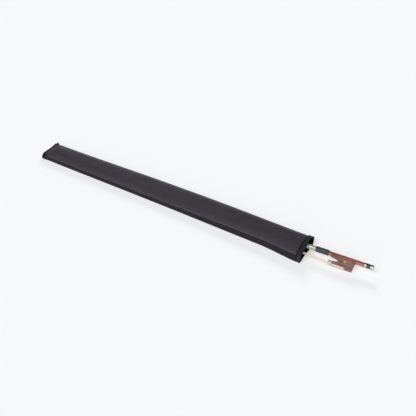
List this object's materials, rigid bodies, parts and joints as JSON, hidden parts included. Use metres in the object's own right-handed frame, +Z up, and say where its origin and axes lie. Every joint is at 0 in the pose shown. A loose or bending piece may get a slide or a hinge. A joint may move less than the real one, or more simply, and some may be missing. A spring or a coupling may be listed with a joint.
{
  "type": "violin bow case",
  "caption": "Soft padded sleeve with a bound closed end and a hemmed open mouth, holding a violin bow that slides out; a screw draws its frog.",
  "frame": {"origin": "On the sleeve's flat underside, half way along its length and half way across its closed end.", "axes": "+X runs along the sleeve from the closed end to the open mouth, +Y to its far side, and +Z up from its underside."},
  "size_m": [0.8897, 0.0757, 0.0266],
  "materials": {
    "woven_nylon": "matt woven",
    "gusset_nylon": "matt woven",
    "hem_nylon": "matt woven",
    "binding_tape": "ribbed tape",
    "padding_foam": "soft open foam",
    "lining_cloth": "brushed",
    "brazilwood": "polished",
    "ebony": "polished",
    "tip_plate": "polished",
    "maple": "raw",
    "bow_hair": "straight fibres",
    "silver": "soft shine",
    "grip_leather": "semi-matt",
    "frog_wood": "satin",
    "pearl": "pearly",
    "brass": "machined",
    "screw_steel": "machined"
  },
  "bodies": {
    "sleeve": {"top_cover": "woven_nylon", "top_padding": "padding_foam", "top_lining": "lining_cloth", "bottom_cover": "woven_nylon", "bottom_padding": "padding_foam", "bottom_lining": "lining_cloth", "near_gusset": "gusset_nylon", "far_gusset": "gusset_nylon", "end_gusset": "gusset_nylon", "end_binding": "binding_tape", "upper_hem": "hem_nylon", "lower_hem": "hem_nylon", "near_hem": "hem_nylon", "far_hem": "hem_nylon"},
    "bow": {"stick": "brazilwood", "head_liner": "ebony", "head_plate": "tip_plate", "head_plug": "maple", "hair": "bow_hair", "silver_winding": "silver", "leather_grip": "grip_leather"},
    "frog": {"frog_body": "frog_wood", "ferrule": "silver", "pearl_slide": "pearl", "near_eye": "pearl", "far_eye": "pearl", "knot_plug": "maple", "spread_wedge": "maple", "eyelet": "brass"},
    "screw": {"screw_shaft": "screw_steel", "button_cap": "silver", "button_collar": "ebony", "button_ring": "silver"}
  },
  "joints": [
    {"name": "bow_slide", "type": "slide", "parent": "sleeve", "child": "bow", "axis": [1, 0, 0], "range_m": [-0.128, 0.57]},
    {"name": "screw_turn", "type": "hinge", "parent": "bow", "child": "screw", "pos_m": [0.50906, 0.01084, 0.01757], "axis": [-0.9989, -0.0431, -0.0193], "range_deg": [0, 3610]},
    {"name": "frog_travel", "type": "slide", "parent": "bow", "child": "frog", "axis": [0.9989, 0.0431, 0.0193], "range_m": [0, 0.008]}
  ],
  "couplings": [
    {"joint": "screw_turn", "follows": "frog_travel", "rad_per_m": 7854}
  ]
}
